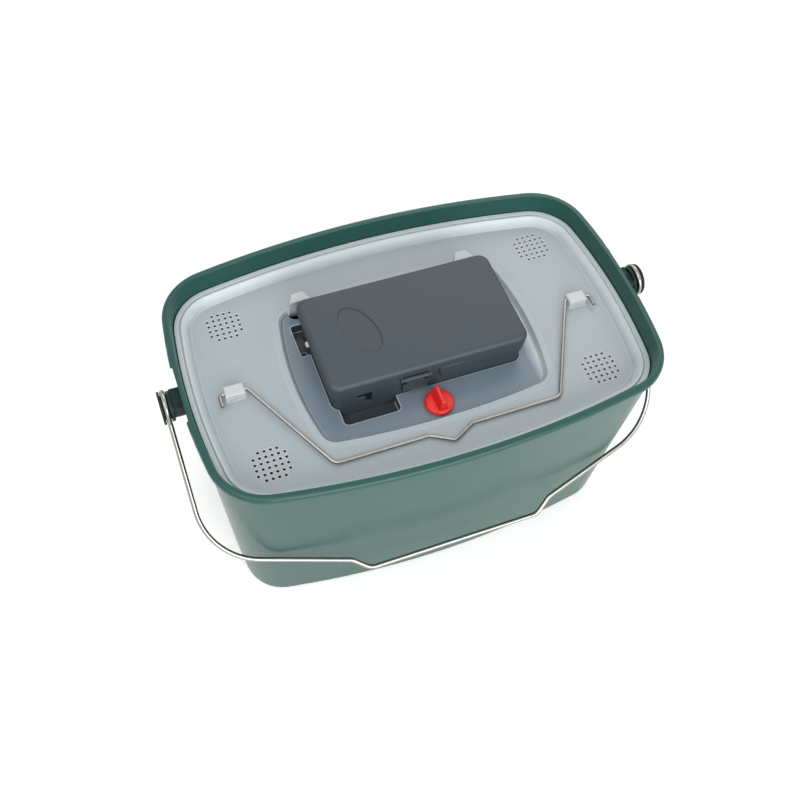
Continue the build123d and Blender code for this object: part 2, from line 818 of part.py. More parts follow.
def housing_lugs():
    """The two lugs under the lid's hooks, and the four ears of the cover's hinge."""
    back = pump_y + housing_half_y
    ear_front = pump_y + pump_half_y + hinge_side_gap
    ear_back = hinge_y + hinge_knuckle
    half = hinge_ear_width / 2 - hinge_side_gap
    lugs = []
    for side in (-1, 1):
        lug_end = hook_place(side)[1] + rear_lug_bite
        lugs.append(rod_y(rear_lug_x(side), back - shell_wall / 2, lug_end, rear_lug_z, rear_lug_radius))
        for end in (-1, 1):
            ear_x = pump_x + side * hinge_centre + end * (hinge_eye_width + hinge_ear_width) / 2
            ear = rod_x(ear_x - half, ear_x + half, hinge_y, hinge_z, hinge_knuckle)
            ear += block(ear_x - half, ear_x + half, ear_front, ear_back, housing_top - bite, hinge_z)
            foot = housing_top - 2 * hinge_knuckle
            ear += block(ear_x - half, ear_x + half, back - shell_wall / 2, ear_back, foot, housing_top)
            lugs.append(ear - rod_x(ear_x - half - 1, ear_x + half + 1, hinge_y, hinge_z, hinge_pin / 2))
    return lugs


def pad_slit(face, z0, z1):
    """The upright slit beside the cover's tongue, cut into a front face at Y = face."""
    right = pump_x + pad_left - slit_width
    return block(right - slit_width, right, face - 1, face + slit_depth, z0, z1)


def switch_window(depth):
    """The angled window in the housing's front wall, open at its top edge."""
    middle = pump_x + switch_x
    right = middle + switch_bar_half
    stem_left = right - switch_stem_width
    bar_low = pump_bottom + switch_bar_low
    stem_low = pump_bottom + switch_stem_low
    y0 = front_face - 1
    y1 = front_face + depth
    window = block(middle - switch_bar_half, right, y0, y1, bar_low, seam_z)
    return window + block(stem_left, right, y0, y1, stem_low, bar_low + bite)


def nozzle_z():
    """Height of the air passage from the chamber to the nozzle."""
    return inner_floor + chamber_height


def cover_outline(half_x, z):
    """The cover's section, with the same front, back and corners at every height."""
    return Pos(pump_x, pump_y, z) * RectangleRounded(2 * half_x, 2 * pump_half_y, pump_corner)


def make_cover():
    low_half = pump_half_x - cover_taper
    body = between(cover_outline(low_half, seam_z), cover_outline(pump_half_x, pump_top))
    body = fillet(body.faces().sort_by(Axis.Z)[-1].edges(), cover_round)
    body -= rounded_block(
        pump_x - low_half + shell_wall,
        pump_x + low_half - shell_wall,
        cover_front + shell_wall,
        pump_y + pump_half_y - shell_wall,
        seam_z - 1,
        pump_top - shell_wall,
        pump_corner - shell_wall,
    )
    dish = Pos(pump_x + thumb_x, pump_y + thumb_y, pump_top - thumb_depth) * Rot(0, 0, thumb_turn)
    body -= extrude(dish * Ellipse(thumb_half_x, thumb_half_y), thumb_depth + 1)
    pad = block(
        pump_x + pad_left,
        pump_x + pad_left + pad_width,
        cover_front - pad_proud,
        front_face - pad_gap,
        seam_z - pad_drop,
        seam_z + pad_rise,
    )
    body += fillet(pad.faces().sort_by(Axis.Y)[0].edges(), 0.8 * pad_proud)
    body -= pad_slit(cover_front, seam_z - 1, seam_z + pad_rise)
    back = pump_y + pump_half_y
    eye_half = hinge_eye_width / 2 - hinge_side_gap
    bore = hinge_pin / 2 + bore_clearance
    for side in (-1, 1):
        left = pump_x + side * hinge_centre - eye_half
        right = pump_x + side * hinge_centre + eye_half
        body += rod_x(left, right, hinge_y, hinge_z, hinge_knuckle)
        body += block(left, right, back - shell_wall / 2, hinge_y, hinge_z, hinge_z + 2 * hinge_knuckle)
        body -= rod_x(left - 1, right + 1, hinge_y, hinge_z, bore)
    for side in (-1, 1):
        ear_x = pump_x + latch_x + side * (latch_width + latch_ear) / 2 + side * latch_side_gap
        left = ear_x - latch_ear / 2
        right = ear_x + latch_ear / 2
        body += rod_x(left, right, latch_axis_y, latch_axis_z, latch_barrel)
        body += block(
            left,
            right,
            latch_axis_y,
            cover_front + shell_wall / 2,
            latch_axis_z - latch_barrel,
            latch_axis_z + latch_barrel,
        )
        body -= rod_x(left - 1, right + 1, latch_axis_y, latch_axis_z, latch_pin / 2)
    return body


def make_hinge_pins():
    half = hinge_eye_width / 2 + hinge_ear_width - hinge_side_gap
    pins = []
    for side in (-1, 1):
        eye_x = pump_x + side * hinge_centre
        pins.append(rod_x(eye_x - half, eye_x + half, hinge_y, hinge_z, hinge_pin / 2))
    return Compound(children=pins)


def make_latch():
    """A flap that hangs from the cover's ears over the housing's front."""
    middle = pump_x + latch_x
    left = middle - latch_width / 2
    right = middle + latch_width / 2
    low = recess_top + latch_low
    face = latch_back - latch_plate
    flap = block(left, right, face, latch_back, low, latch_axis_z)
    flap += block(right - latch_lip_width, right, face - latch_lip, latch_back, low, low + latch_plate)
    flap += rod_x(left, right, latch_axis_y, latch_axis_z, latch_barrel)
    groove_half = catch_width / 2 + latch_side_gap
    flap -= block(
        middle - groove_half,
        middle + groove_half,
        latch_back - catch_depth,
        latch_back + 1,
        catch_z - latch_side_gap,
        catch_z + catch_ridge + latch_side_gap,
    )
    window_top = latch_axis_z - latch_barrel - latch_window_drop
    window_low = window_top - latch_window_height
    inset = latch_window_margin + latch_window / 2
    for spot in (left + inset, right - inset):
        x0 = spot - latch_window / 2
        flap -= block(x0, x0 + latch_window, face - 1, latch_back + 1, window_low, window_top)
    bore = latch_pin / 2 + bore_clearance
    return flap - rod_x(left - 1, right + 1, latch_axis_y, latch_axis_z, bore)


def make_latch_pin():
    half = latch_width / 2 + latch_side_gap + latch_ear
    middle = pump_x + latch_x
    return rod_x(middle - half, middle + half, latch_axis_y, latch_axis_z, latch_pin / 2)


# ---------------------------------------------------------------- switch
def switch_low():
    """Underside of the switch, below the window's stem."""
    return pump_bottom + switch_stem_low - switch_margin


def slider_span():
    """Lower and upper limits of the slider, inside the window's bar."""
    return pump_bottom + switch_bar_low + slider_clearance, housing_top - slider_headroom


def make_switch_body():
    middle = pump_x + switch_x
    half = switch_body_length / 2
    back = inner_front + switch_body_depth
    body = block(middle - half, middle + half, inner_front, back, switch_low(), seam_z + switch_margin)
    room = (slider_length + slider_travel) / 2 + slider_clearance / 2
    low, high = slider_span()
    return body - block(
        middle - room,
        middle + room,
        inner_front - 1,
        inner_front + switch_groove,
        low - slider_clearance / 2,
        high + slider_clearance / 2,
    )


def make_switch_slider():
    middle = pump_x + switch_x - slider_travel / 2
    half = slider_length / 2
    face = front_face + slider_inset
    low, high = slider_span()
    slider = block(middle - half, middle + half, face, inner_front + slider_tail, low, high)
    for step in (-1, 0, 1):
        left = middle + step * slider_length / 4 - slider_rib / 2
        slider -= block(left, left + slider_rib, face - 1, face + slider_rib, low - 1, high + 1)
    return slider


# ---------------------------------------------------------------- cells and contacts
def bay():
    """The two ends of the battery bay, between the contact plates."""
    return pump_x + partition_x + partition + contact_sheet, inner_right - contact_sheet


def cell_rows():
    """For each cell: its Y, the end its cap points to, and its name."""
    offset = (cell_diameter + cell_gap) / 2
    return ((pump_y - offset, 1, "front"), (pump_y + offset, -1, "rear"))


def cell_axis_z():
    return inner_floor + cell_clearance + cell_diameter / 2


def make_cell(y, cap_end):
    left, right = bay()
    z = cell_axis_z()
    body_length = cell_length - cell_cap_height
    if cap_end > 0:
        tip = right
        start = tip - cell_length
        body = rod_x(start, start + body_length, y, z, cell_diameter / 2)
        body = fillet(body.edges().filter_by(GeomType.CIRCLE), 0.8)
        return body + rod_x(start + body_length - 1, tip, y, z, cell_cap / 2)
    tip = left
    end = tip + cell_length
    body = rod_x(end - body_length, end, y, z, cell_diameter / 2)
    body = fillet(body.edges().filter_by(GeomType.CIRCLE), 0.8)
    return body + rod_x(tip, tip + cell_cap_height + 1, y, z, cell_cap / 2)


def make_spring(y, cap_end):
    """A coil between the contact plate and the flat end of the cell."""
    left, right = bay()
    room = right - left - cell_length
    start = left if cap_end > 0 else right - room
    rise = room - spring_wire
    coil = Helix(rise / spring_turns, rise, spring_radius)
    wire = sweep(Plane(coil @ 0, z_dir=coil % 0) * Circle(spring_wire / 2), path=coil, is_frenet=True)
    return Pos(start + spring_wire / 2, y, cell_axis_z()) * Rot(0, 90, 0) * wire


def tail_end_x():
    """X of the contact tails' ends, on the mechanism's side of the partition."""
    return pump_x + partition_x - tail_reach


def make_contact_plates():
    left, right = bay()
    z = cell_axis_z()
    half = cell_diameter / 2 - contact_margin
    plates = []
    for y, cap_end, name in cell_rows():
        tail_z = inner_floor + tail_rise
        plate = block(left - contact_sheet, left, y - half, y + half, z - half, z + half)
        plate += block(
            tail_end_x(), left, y - tail_width / 2, y + tail_width / 2, tail_z, tail_z + contact_sheet
        )
        plates.append(plate)
    low_y = cell_rows()[0][0] - half
    high_y = cell_rows()[1][0] + half
    plates.append(block(right, right + contact_sheet, low_y, high_y, z - half, z + half))
    return Compound(children=plates)


# ---------------------------------------------------------------- mechanism
def make_motor():
    can = rod_y(shaft_x, motor_back, motor_face, motor_z, motor_diameter / 2)
    can = fillet(can.edges().filter_by(GeomType.CIRCLE), clamp_sheet)
    can += rod_y(shaft_x, motor_face - 1, motor_face + motor_boss_length, motor_z, motor_boss / 2)
    bore = shaft_diameter / 2 + bore_clearance
    bore_start = motor_face - shaft_in_motor - 1
    return can - rod_y(shaft_x, bore_start, motor_face + motor_boss_length + 1, motor_z, bore)


def make_eccentric():
    half = eccentric_width / 2
    shaft_end = mech_y + half + shaft_past
    shaft = rod_y(shaft_x, motor_face - shaft_in_motor, shaft_end, motor_z, shaft_diameter / 2)
    return shaft + rod_y(shaft_x + throw, mech_y - half, mech_y + half, motor_z, eccentric_diameter / 2)


def make_motor_clamp():
    """A strap over the motor, with a foot for its screw and a bed under the can."""
    inner = motor_diameter / 2
    outer = inner + clamp_sheet
    y0 = clamp_y - clamp_width / 2
    y1 = clamp_y + clamp_width / 2
    strap = rod_y(shaft_x, y0, y1, motor_z, outer)
    strap += block(shaft_x - outer, shaft_x + outer, y0, y1, inner_floor, motor_z)
    strap -= rod_y(shaft_x, y0 - 1, y1 + 1, motor_z, inner)
    strap -= block(shaft_x - inner, shaft_x + inner, y0 - 1, y1 + 1, inner_floor - 1, motor_z)
    foot_top = inner_floor + clamp_sheet
    foot_end = shaft_x - outer - clamp_foot
    strap += block(foot_end, shaft_x - inner, y0, y1, inner_floor, foot_top)
    hole = screw_shank / 2 + screw_slack
    strap -= rod_z(clamp_screw_x, clamp_y, inner_floor - 1, foot_top + 1, hole)
    bed = block(shaft_x - inner, shaft_x + inner, y0, y1, inner_floor, motor_z - inner / 2)
    return strap + (bed - rod_y(shaft_x, y0 - 1, y1 + 1, motor_z, inner))


def arm_post_spans():
    """Y limits of the two posts that carry the rocker's pin."""
    near = arm_width / 2 + hub_step + post_gap
    far = near + post_width
    return (mech_y - far, mech_y - near), (mech_y + near, mech_y + far)


def make_rocker_arm():
    pivot = pump_x + arm_pivot_x
    window_x = eccentric_diameter / 2 + throw + yoke_play
    window_z = eccentric_diameter / 2 + throw + yoke_slip
    yoke_left = shaft_x - window_x - yoke_wall
    yoke_right = shaft_x + window_x + yoke_wall
    half = arm_width / 2
    low = motor_z - arm_thickness / 2
    high = motor_z + arm_thickness / 2
    arm = block(pivot, yoke_left + yoke_wall / 2, mech_y - half, mech_y + half, low, high)
    arm += rod_y(pivot, mech_y - half - hub_step, mech_y + half + hub_step, motor_z, hub_diameter / 2)
    yoke = block(
        yoke_left,
        yoke_right,
        mech_y - half,
        mech_y + half,
        motor_z - window_z - yoke_wall,
        motor_z + window_z + yoke_wall,
    )
    yoke -= block(
        shaft_x - window_x,
        shaft_x + window_x,
        mech_y - arm_width,
        mech_y + arm_width,
        motor_z - window_z,
        motor_z + window_z,
    )
    arm += yoke
    arm -= rod_y(pivot, mech_y - arm_width, mech_y + arm_width, motor_z, arm_pin / 2 + bore_clearance)
    screw_x = pump_x + chamber_x
    return arm - rod_z(screw_x, mech_y, motor_z - arm_thickness, motor_z + arm_thickness, screw_shank / 2)


def make_rocker_pin():
    spans = arm_post_spans()
    return rod_y(pump_x + arm_pivot_x, spans[0][0], spans[1][1], motor_z, arm_pin / 2)


def diaphragm_top():
    return inner_floor + chamber_height + diaphragm_rise


def make_diaphragm_screw():
    x = pump_x + chamber_x
    top = motor_z + arm_thickness / 2
    screw = rod_z(x, mech_y, diaphragm_top(), top + screw_head_height / 2, screw_shank / 2)
    head = rod_z(x, mech_y, top, top + screw_head_height, screw_head / 2)
    return screw + fillet(head.faces().sort_by(Axis.Z)[-1].edges(), screw_head_height / 3)


def make_diaphragm():
    x = pump_x + chamber_x
    low = inner_floor + chamber_height
    skirt = rod_z(x, mech_y, low, low + diaphragm_thickness, diaphragm_radius)
    dome = Pos(x, mech_y, low + diaphragm_rise / 2) * Cone(chamber_bore, screw_head, diaphragm_rise)
    depth = diaphragm_rise - diaphragm_skin
    hollow = Cone(chamber_bore - diaphragm_skin, screw_head - diaphragm_skin, depth)
    return skirt + dome - Pos(x, mech_y, low + depth / 2) * hollow


def make_air_chamber():
    x = pump_x + chamber_x
    low = inner_floor
    body = rounded_block(
        x - chamber_half,
        x + chamber_half,
        mech_y - chamber_half,
        mech_y + chamber_half,
        low,
        low + chamber_height,
        chamber_corner,
    )
    body -= rod_z(x, mech_y, low + chamber_floor, low + chamber_height + 1, chamber_bore)
    spigot_end = x - chamber_half - spigot_length
    spigot_z = tube_z()
    body += rod_x(spigot_end, x - chamber_half + 1, mech_y, spigot_z, nozzle_diameter / 2)
    return body - rod_x(spigot_end - 1, x - chamber_bore + 1, mech_y, spigot_z, nozzle_bore / 2)


def tube_z():
    """Height of the chamber's spigot."""
    return inner_floor + chamber_height / 2 + 1


def make_valve_flaps():
    x = pump_x + chamber_x
    z = inner_floor + chamber_floor
    spots = (x - flap_spread, x + flap_spread)
    return Compound(children=[rod_z(spot, mech_y, z, z + flap_thickness, flap_radius) for spot in spots])


def make_outlet_nozzle():
    outer = pump_x - housing_half_x
    z = nozzle_z()
    tip = outer - nozzle_proud
    spigot_end = inner_left + tube_wall + spigot_length
    body = rod_x(tip, spigot_end, mech_y, z, nozzle_diameter / 2)
    body += rod_x(outer, inner_left + 0.1, mech_y, z, nozzle_shoulder / 2)
    body += rod_x(inner_left, inner_left + tube_wall, mech_y, z, nozzle_flange / 2)
    return body - rod_x(tip - 1, spigot_end + 1, mech_y, z, nozzle_bore / 2)


def make_air_tube():
    """A short soft tube, in two straight ends and a gentle double bend, over the two spigots."""
    start_x = inner_left + tube_wall
    end_x = pump_x + chamber_x - chamber_half
    upper = nozzle_z()
    lower = tube_z()
    span = end_x - start_x
    points = [
        (start_x, mech_y, upper),
        (start_x + span * 0.36, mech_y, upper),
        (start_x + span * 0.64, mech_y, lower),
        (end_x, mech_y, lower),
    ]
    radius = span * 0.3
    outer = bent_wire(points, [radius, radius], nozzle_diameter + 2 * tube_wall)
    inner = bent_wire(points, [radius, radius], nozzle_diameter + 0.1)
    return outer - inner


def make_mechanism_screws():
    foot_top = inner_floor + clamp_sheet
    clamp = rod_z(clamp_screw_x, clamp_y, foot_top, foot_top + screw_head_height, screw_head / 2)
    clamp += rod_z(clamp_screw_x, clamp_y, inner_floor, foot_top + 1, screw_shank / 2)
    screws = [clamp]
    top = inner_floor + chamber_height
    inset = chamber_half - chamber_screw_inset
    for side in (-1, 1):
        spot = (pump_x + chamber_x + inset, mech_y + side * inset)
        screws.append(rod_z(*spot, top, top + small_screw_height, small_screw_head / 2))
    return Compound(children=screws)


def make_leads():
    """Cell to switch, cell to motor, and switch to motor, along the housing's floor."""
    floor = inner_floor + lead_rise
    tail_x = tail_end_x() + lead_diameter / 2
    tail_z = inner_floor + tail_rise
    front_y, rear_y = [row[0] for row in cell_rows()]
    switch_y = inner_front + switch_body_depth / 2
    switch_z = switch_low()
    switch_right = pump_x + switch_x + lead_spread
    switch_left = pump_x + switch_x - lead_spread
    motor_right = shaft_x + terminal_spread
    motor_left = shaft_x - terminal_spread
    terminal_z = motor_z - terminal_drop
    near = motor_back - lead_bend
    far = near - 2 * lead_diameter
    turn_y = clamp_y - clamp_width / 2 - lead_room
    routes = [
        [
            (tail_x, front_y, tail_z),
            (tail_x, front_y, floor),
            (tail_x, switch_y, floor),
            (switch_right, switch_y, floor),
            (switch_right, switch_y, switch_z),
        ],
        [
            (tail_x, rear_y, tail_z),
            (tail_x, rear_y, floor),
            (tail_x, turn_y, floor),
            (motor_right, turn_y, floor),
            (motor_right, near, floor),
            (motor_right, near, terminal_z),
            (motor_right, motor_back, terminal_z),
        ],
        [
            (switch_left, switch_y, switch_z),
            (switch_left, switch_y, floor),
            (switch_left, far, floor),
            (motor_left, far, floor),
            (motor_left, far, terminal_z),
            (motor_left, motor_back, terminal_z),
        ],
    ]
    leads = []
    for route in routes:
        runs = [(Vector(*b) - Vector(*a)).length for a, b in zip(route, route[1:])]
        radii = [min(0.45 * min(pair), lead_largest_bend) for pair in zip(runs, runs[1:])]
        leads.append(bent_wire(route, radii, lead_diameter))
    return Compound(children=leads)


# ---------------------------------------------------------------- write the sub-parts
os.makedirs("parts", exist_ok=True)
save(make_bucket(), "bucket")
save(make_bail(), "bail_handle")
save(make_lid(), "lid")
save(make_lid_handle(), "lid_handle")
save(make_turn_button(), "turn_button")
save(make_button_cam(), "button_cam")
save(make_button_screw(), "button_screw")
save(make_housing(), "pump_housing")
save(make_cover(), "pump_cover")
save(make_hinge_pins(), "hinge_pins")
save(make_latch(), "cover_latch")
save(make_latch_pin(), "latch_pin")
save(make_switch_body(), "switch_body")
save(make_switch_slider(), "switch_slider")
for cell_y, cap_end, cell_name in cell_rows():
    save(make_cell(cell_y, cap_end), f"battery_{cell_name}")
    save(make_spring(cell_y, cap_end), f"spring_{cell_name}")
save(make_contact_plates(), "contact_plates")
save(make_motor(), "motor")
save(make_motor_clamp(), "motor_clamp")
save(make_eccentric(), "eccentric")
save(make_rocker_arm(), "rocker_arm")
save(make_rocker_pin(), "rocker_pin")
save(make_diaphragm_screw(), "diaphragm_screw")
save(make_diaphragm(), "diaphragm")
save(make_air_chamber(), "air_chamber")
save(make_valve_flaps(), "valve_flaps")
save(make_outlet_nozzle(), "outlet_nozzle")
save(make_air_tube(), "air_tube")
save(make_mechanism_screws(), "mechanism_screws")
save(make_leads(), "leads")
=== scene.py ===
import json
import math

import bmesh
import bpy
from mathutils import Matrix, Vector


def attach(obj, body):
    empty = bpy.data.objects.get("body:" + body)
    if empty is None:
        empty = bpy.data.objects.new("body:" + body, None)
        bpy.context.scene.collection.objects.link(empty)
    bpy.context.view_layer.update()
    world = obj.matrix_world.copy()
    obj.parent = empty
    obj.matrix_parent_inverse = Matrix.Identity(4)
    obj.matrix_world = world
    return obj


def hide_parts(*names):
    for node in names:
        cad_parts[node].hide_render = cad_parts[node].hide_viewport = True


# Live-bait bucket with a drop-in lid and a battery aerator. Metres, +Z up, as in the CAD frame.

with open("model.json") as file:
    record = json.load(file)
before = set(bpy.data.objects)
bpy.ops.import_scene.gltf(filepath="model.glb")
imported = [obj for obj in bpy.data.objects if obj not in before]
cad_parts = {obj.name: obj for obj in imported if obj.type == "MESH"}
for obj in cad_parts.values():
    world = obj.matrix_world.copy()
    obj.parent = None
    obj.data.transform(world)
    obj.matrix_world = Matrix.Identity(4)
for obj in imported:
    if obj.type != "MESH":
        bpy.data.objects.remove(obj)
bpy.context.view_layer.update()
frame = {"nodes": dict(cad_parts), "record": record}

# Heights of the lid's levels, and the ends of its raised and sunk parts, that its painted light and shade
# follow.
pocket_level = (0.1826, 0.1815)  # the pump's pocket, lowest
sunk_level = (0.1856, 0.1836)  # the sunk panel
dish_level = (0.1864, 0.1915)  # from the flat up to the dished border
bead_level = (0.1861, 0.1868)
bead_ends_x = (0.114, 0.112)
bead_ends_y = (0.084, 0.082)
groove_bottom = (0.1905, 0.1915)
groove_top = (0.1925, 0.1921)
raised_level = (0.1872, 0.1884)  # hooks and bridges
raised_ends_x = (0.166, 0.163)
raised_ends_y = (0.09, 0.084)
# Across these, the sunk panel's painted shade beside the pump fades to paler painted light.
pale_floor_x = (0.087, 0.097)  # the sunk panel's right end, past the pump
level_face = (0.9, 0.97)  # upward part of a normal
edge_bend = (0.999, 0.86)  # between a rounded normal and the true one
edge_glow = 0.0016

# Faces reaching past this get the lugs' painted shade.
lug_start = 0.193  # past the rim's overhang
merge_distance = 0.00001
crease_angle = 32  # degrees

# Surface unevenness, as cycles per metre and as spreads of tone and roughness.
drift_scale = 28.0
drift_tone = (0.94, 1.06)
drift_polish = (-0.04, 0.06)
grain_strength = 0.3
tarnish_scale = 60.0
tarnish_tone = (0.86, 1.08)
scratch_polish = (-0.07, 0.1)
scratch_strength = 0.15
scratch_depth = 0.0001

floor_half = 4.0
floor_glow = 0.3
sky_strength = (0.5, 1.0)  # as light, and as seen
aim = (0, 0, 0.15)  # the middle of the bucket, for the lamps
white = (1, 1, 1, 1)


# ---------------------------------------------------------------- materials
def colour(code):
    """A linear colour from an sRGB hex value."""
    parts = [int(code[i : i + 2], 16) / 255 for i in (1, 3, 5)]
    linear = [p / 12.92 if p <= 0.04045 else ((p + 0.055) / 1.055) ** 2.4 for p in parts]
    return (*linear, 1.0)


def add(tree, kind, inputs=None, **settings):
    """Adds a node with its settings. An input is a value, or the output that feeds it."""
    made = tree.nodes.new(kind)
    for name, value in settings.items():
        setattr(made, name, value)
    for name, value in (inputs or {}).items():
        if isinstance(value, bpy.types.NodeSocket):
            tree.links.new(value, made.inputs[name])
        else:
            made.inputs[name].default_value = value
    return made


def new_material(name):
    """An empty material with its output, ready for a shader."""
    made = bpy.data.materials.new(name)
    made.use_nodes = True
    made.node_tree.nodes.clear()
    return made, made.node_tree


def noise(tree, place, scale, detail):
    """A soft noise over the object, from 0 to 1."""
    made = add(tree, "ShaderNodeTexNoise", {"Vector": place, "Scale": scale, "Detail": detail})
    return made.outputs["Fac"]


def spread(tree, factor, limits, middle=0.0):
    """A factor spread between two values, each counted from a middle."""
    low, high = (middle + limit for limit in limits)
    inputs = {"Value": factor, "To Min": low, "To Max": high}
    return add(tree, "ShaderNodeMapRange", inputs).outputs["Result"]


def uneven(tree, base, shade):
    """A base colour multiplied by a shade."""
    body = add(tree, "ShaderNodeMix", {"Factor": 1.0}, data_type="RGBA", blend_type="MULTIPLY")
    body.inputs["A"].default_value = colour(base)
    tree.links.new(shade, body.inputs["B"])
    return body.outputs["Result"]


def finish(tree, surface, polish, normal, **shader):
    """The shader and the output of a surface."""
    inputs = {"Base Color": surface, "Roughness": polish, "Normal": normal, **shader}
    glossy = add(tree, "ShaderNodeBsdfPrincipled", inputs)
    add(tree, "ShaderNodeOutputMaterial", {"Surface": glossy.outputs["BSDF"]})


def plastic(name, base, roughness, grain, grain_depth, edge, tint=None, **shader):
    """A moulded plastic: fine surface grain, softened edges, faint unevenness in its colour."""
    made, tree = new_material(name)
    place = add(tree, "ShaderNodeTexCoord").outputs["Object"]
    drift = noise(tree, place, drift_scale, 3.0)
    surface = uneven(tree, base, spread(tree, drift, drift_tone))
    if tint:
        surface = tint(tree, place, surface)
    rounded = add(tree, "ShaderNodeBevel", {"Radius": edge}, samples=6)
    grit = noise(tree, place, 1 / grain, 2.0)
    grained = {"Height": grit, "Strength": grain_strength, "Distance": grain_depth}
    bump = add(tree, "ShaderNodeBump", {**grained, "Normal": rounded.outputs["Normal"]})
    polish = spread(tree, drift, drift_polish, roughness)
    finish(tree, surface, polish, bump.outputs["Normal"], **shader)
    return made


def metal(name, base, roughness, scratch):
    """A drawn or rolled metal: fine marks in its polish, and a slightly dull, uneven tone."""
    made, tree = new_material(name)
    place = add(tree, "ShaderNodeTexCoord").outputs["Object"]
    marks = noise(tree, place, 1 / scratch, 4.0)
    tarnish = noise(tree, place, tarnish_scale, 3.0)
    surface = uneven(tree, base, spread(tree, tarnish, tarnish_tone))
    scratched = {"Height": marks, "Strength": scratch_strength, "Distance": scratch_depth}
    bump = add(tree, "ShaderNodeBump", scratched)
    polish = spread(tree, marks, scratch_polish, roughness)
    finish(tree, surface, polish, bump.outputs["Normal"], Metallic=1.0)
    return made


def blend(tree, factor, below, above):
    """A colour that goes from one to the other with a factor."""
    mixed = add(tree, "ShaderNodeMix", {"Factor": factor}, data_type="RGBA")
    for name, source in (("A", below), ("B", above)):
        if isinstance(source, str):
            mixed.inputs[name].default_value = colour(source)
        else:
            tree.links.new(source, mixed.inputs[name])
    return mixed.outputs["Result"]


def ramp(tree, value, limits):
    """A factor that rises from 0 to 1 between two values."""
    start, end = limits
    inputs = {"Value": value, "From Min": start, "From Max": end}
    return add(tree, "ShaderNodeMapRange", inputs).outputs["Result"]


def reach(tree, value):
    """The distance from a plane through the origin."""
    return add(tree, "ShaderNodeMath", {0: value}, operation="ABSOLUTE").outputs["Value"]


def product(tree, *factors):
    """Several factors multiplied together."""
    total = factors[0]
    for factor in factors[1:]:
        total = add(tree, "ShaderNodeMath", {0: total, 1: factor}, operation="MULTIPLY").outputs["Value"]
    return total


def lid_painted_light_and_shade(tree, place, surface):
    """Painted shade and light on natural polypropylene: darker where it lies lower, paler where it stands
    up.
    """
    axes = add(tree, "ShaderNodeSeparateXYZ", {"Vector": place})
    height = axes.outputs["Z"]
    across = reach(tree, axes.outputs["X"])
    along = reach(tree, axes.outputs["Y"])
    true_normal = add(tree, "ShaderNodeNewGeometry").outputs["True Normal"]
    upward = add(tree, "ShaderNodeSeparateXYZ", {"Vector": true_normal}).outputs["Z"]

    # Painted shade: the sunk panel bluish-dark beside the pump, paler past its right end.
    panel_tone = blend(tree, ramp(tree, axes.outputs["X"], pale_floor_x), "#6E7D89", "#BAC6CB")
    tone = blend(tree, ramp(tree, height, sunk_level), surface, panel_tone)
    # Painted shade: the pump's pocket nearly black.
    tone = blend(tree, ramp(tree, height, pocket_level), tone, "#3C4247")
    # Painted light: the dished border pale.
    tone = blend(tree, ramp(tree, height, dish_level), tone, "#C4CED1")

    # Painted highlight along the bead.
    bead = product(
        tree,
        ramp(tree, height, bead_level),
        ramp(tree, across, bead_ends_x),
        ramp(tree, along, bead_ends_y),
    )
    tone = blend(tree, bead, tone, "#A3B0B7")

    # Painted shade in the groove.
    groove = product(
        tree,
        ramp(tree, upward, level_face),
        ramp(tree, height, groove_top),
        ramp(tree, height, groove_bottom),
    )
    tone = blend(tree, groove, tone, "#868E95")

    # Painted light on the hooks and bridges.
    raised = product(
        tree,
        ramp(tree, height, raised_level),
        ramp(tree, along, raised_ends_y),
        ramp(tree, across, raised_ends_x),
    )
    tone = blend(tree, raised, tone, "#BFC6C8")

    # Painted highlight along the edges, where a rounded normal leans from the true one.
    rounded = add(tree, "ShaderNodeBevel", {"Radius": edge_glow}, samples=8).outputs["Normal"]
    lean = add(tree, "ShaderNodeVectorMath", {0: rounded, 1: true_normal}, operation="DOT_PRODUCT")
    return blend(tree, ramp(tree, lean.outputs["Value"], edge_bend), tone, "#CFD8DA")


# Glossy moulded polypropylene: deep green, mirrors the pale floor at a slant.
green_polypropylene = plastic(
    "green_polypropylene", "#1A4C44", 0.3, 0.0009, 0.00006, 0.0007, **{"Specular IOR Level": 0.38}
)
# The same plastic on the lugs, made nearly black and less glossy as painted shade.
lug_painted_shade = plastic(
    "lug_painted_shade", "#0B2520", 0.4, 0.0009, 0.00006, 0.0005, **{"Specular IOR Level": 0.2}
)
# Unpigmented polypropylene: cloudy, with painted shade making it bluish-dark where it lies low and a
# painted highlight making it pale along its edges.
natural_polypropylene = plastic(
    "natural_polypropylene", "#A3ADB1", 0.34, 0.0007, 0.00008, 0.0008, tint=lid_painted_light_and_shade,
    **{"Subsurface Weight": 0.15, "Subsurface Radius": (0.004, 0.004, 0.004)},
)
# Moulded ABS with a fine sparked finish: dark blue-grey, half matt.
grey_abs = plastic(
    "grey_abs", "#37424A", 0.46, 0.0006, 0.00012, 0.0009, **{"Specular IOR Level": 0.42}
)
# Moulded acetal dyed signal red: saturated, with a soft shine.
red_acetal = plastic("red_acetal", "#E0201C", 0.28, 0.0008, 0.00005, 0.0006)
# Black polyamide of switches and clips.
black_polyamide = plastic("black_polyamide", "#141516", 0.4, 0.0006, 0.0001, 0.0003)
# Printed steel jacket of a cell.
cell_jacket = plastic("cell_jacket", "#2E3338", 0.3, 0.001, 0.00004, 0.0004)
# Moulded rubber of the diaphragm and flaps.
black_rubber = plastic("black_rubber", "#1B1B1A", 0.62, 0.0008, 0.0001, 0.0004)
# Soft clear vinyl of the short tube.
soft_vinyl = plastic("soft_vinyl", "#C9CDC8", 0.25, 0.001, 0.00003, 0.0002)
# Lead insulation.
red_vinyl = plastic("red_vinyl", "#8E1F1B", 0.42, 0.001, 0.00004, 0.0002)
# Unpigmented nylon of the air tip: nearly white.
white_nylon = plastic("white_nylon", "#E8EAE6", 0.35, 0.0008, 0.00004, 0.0003)
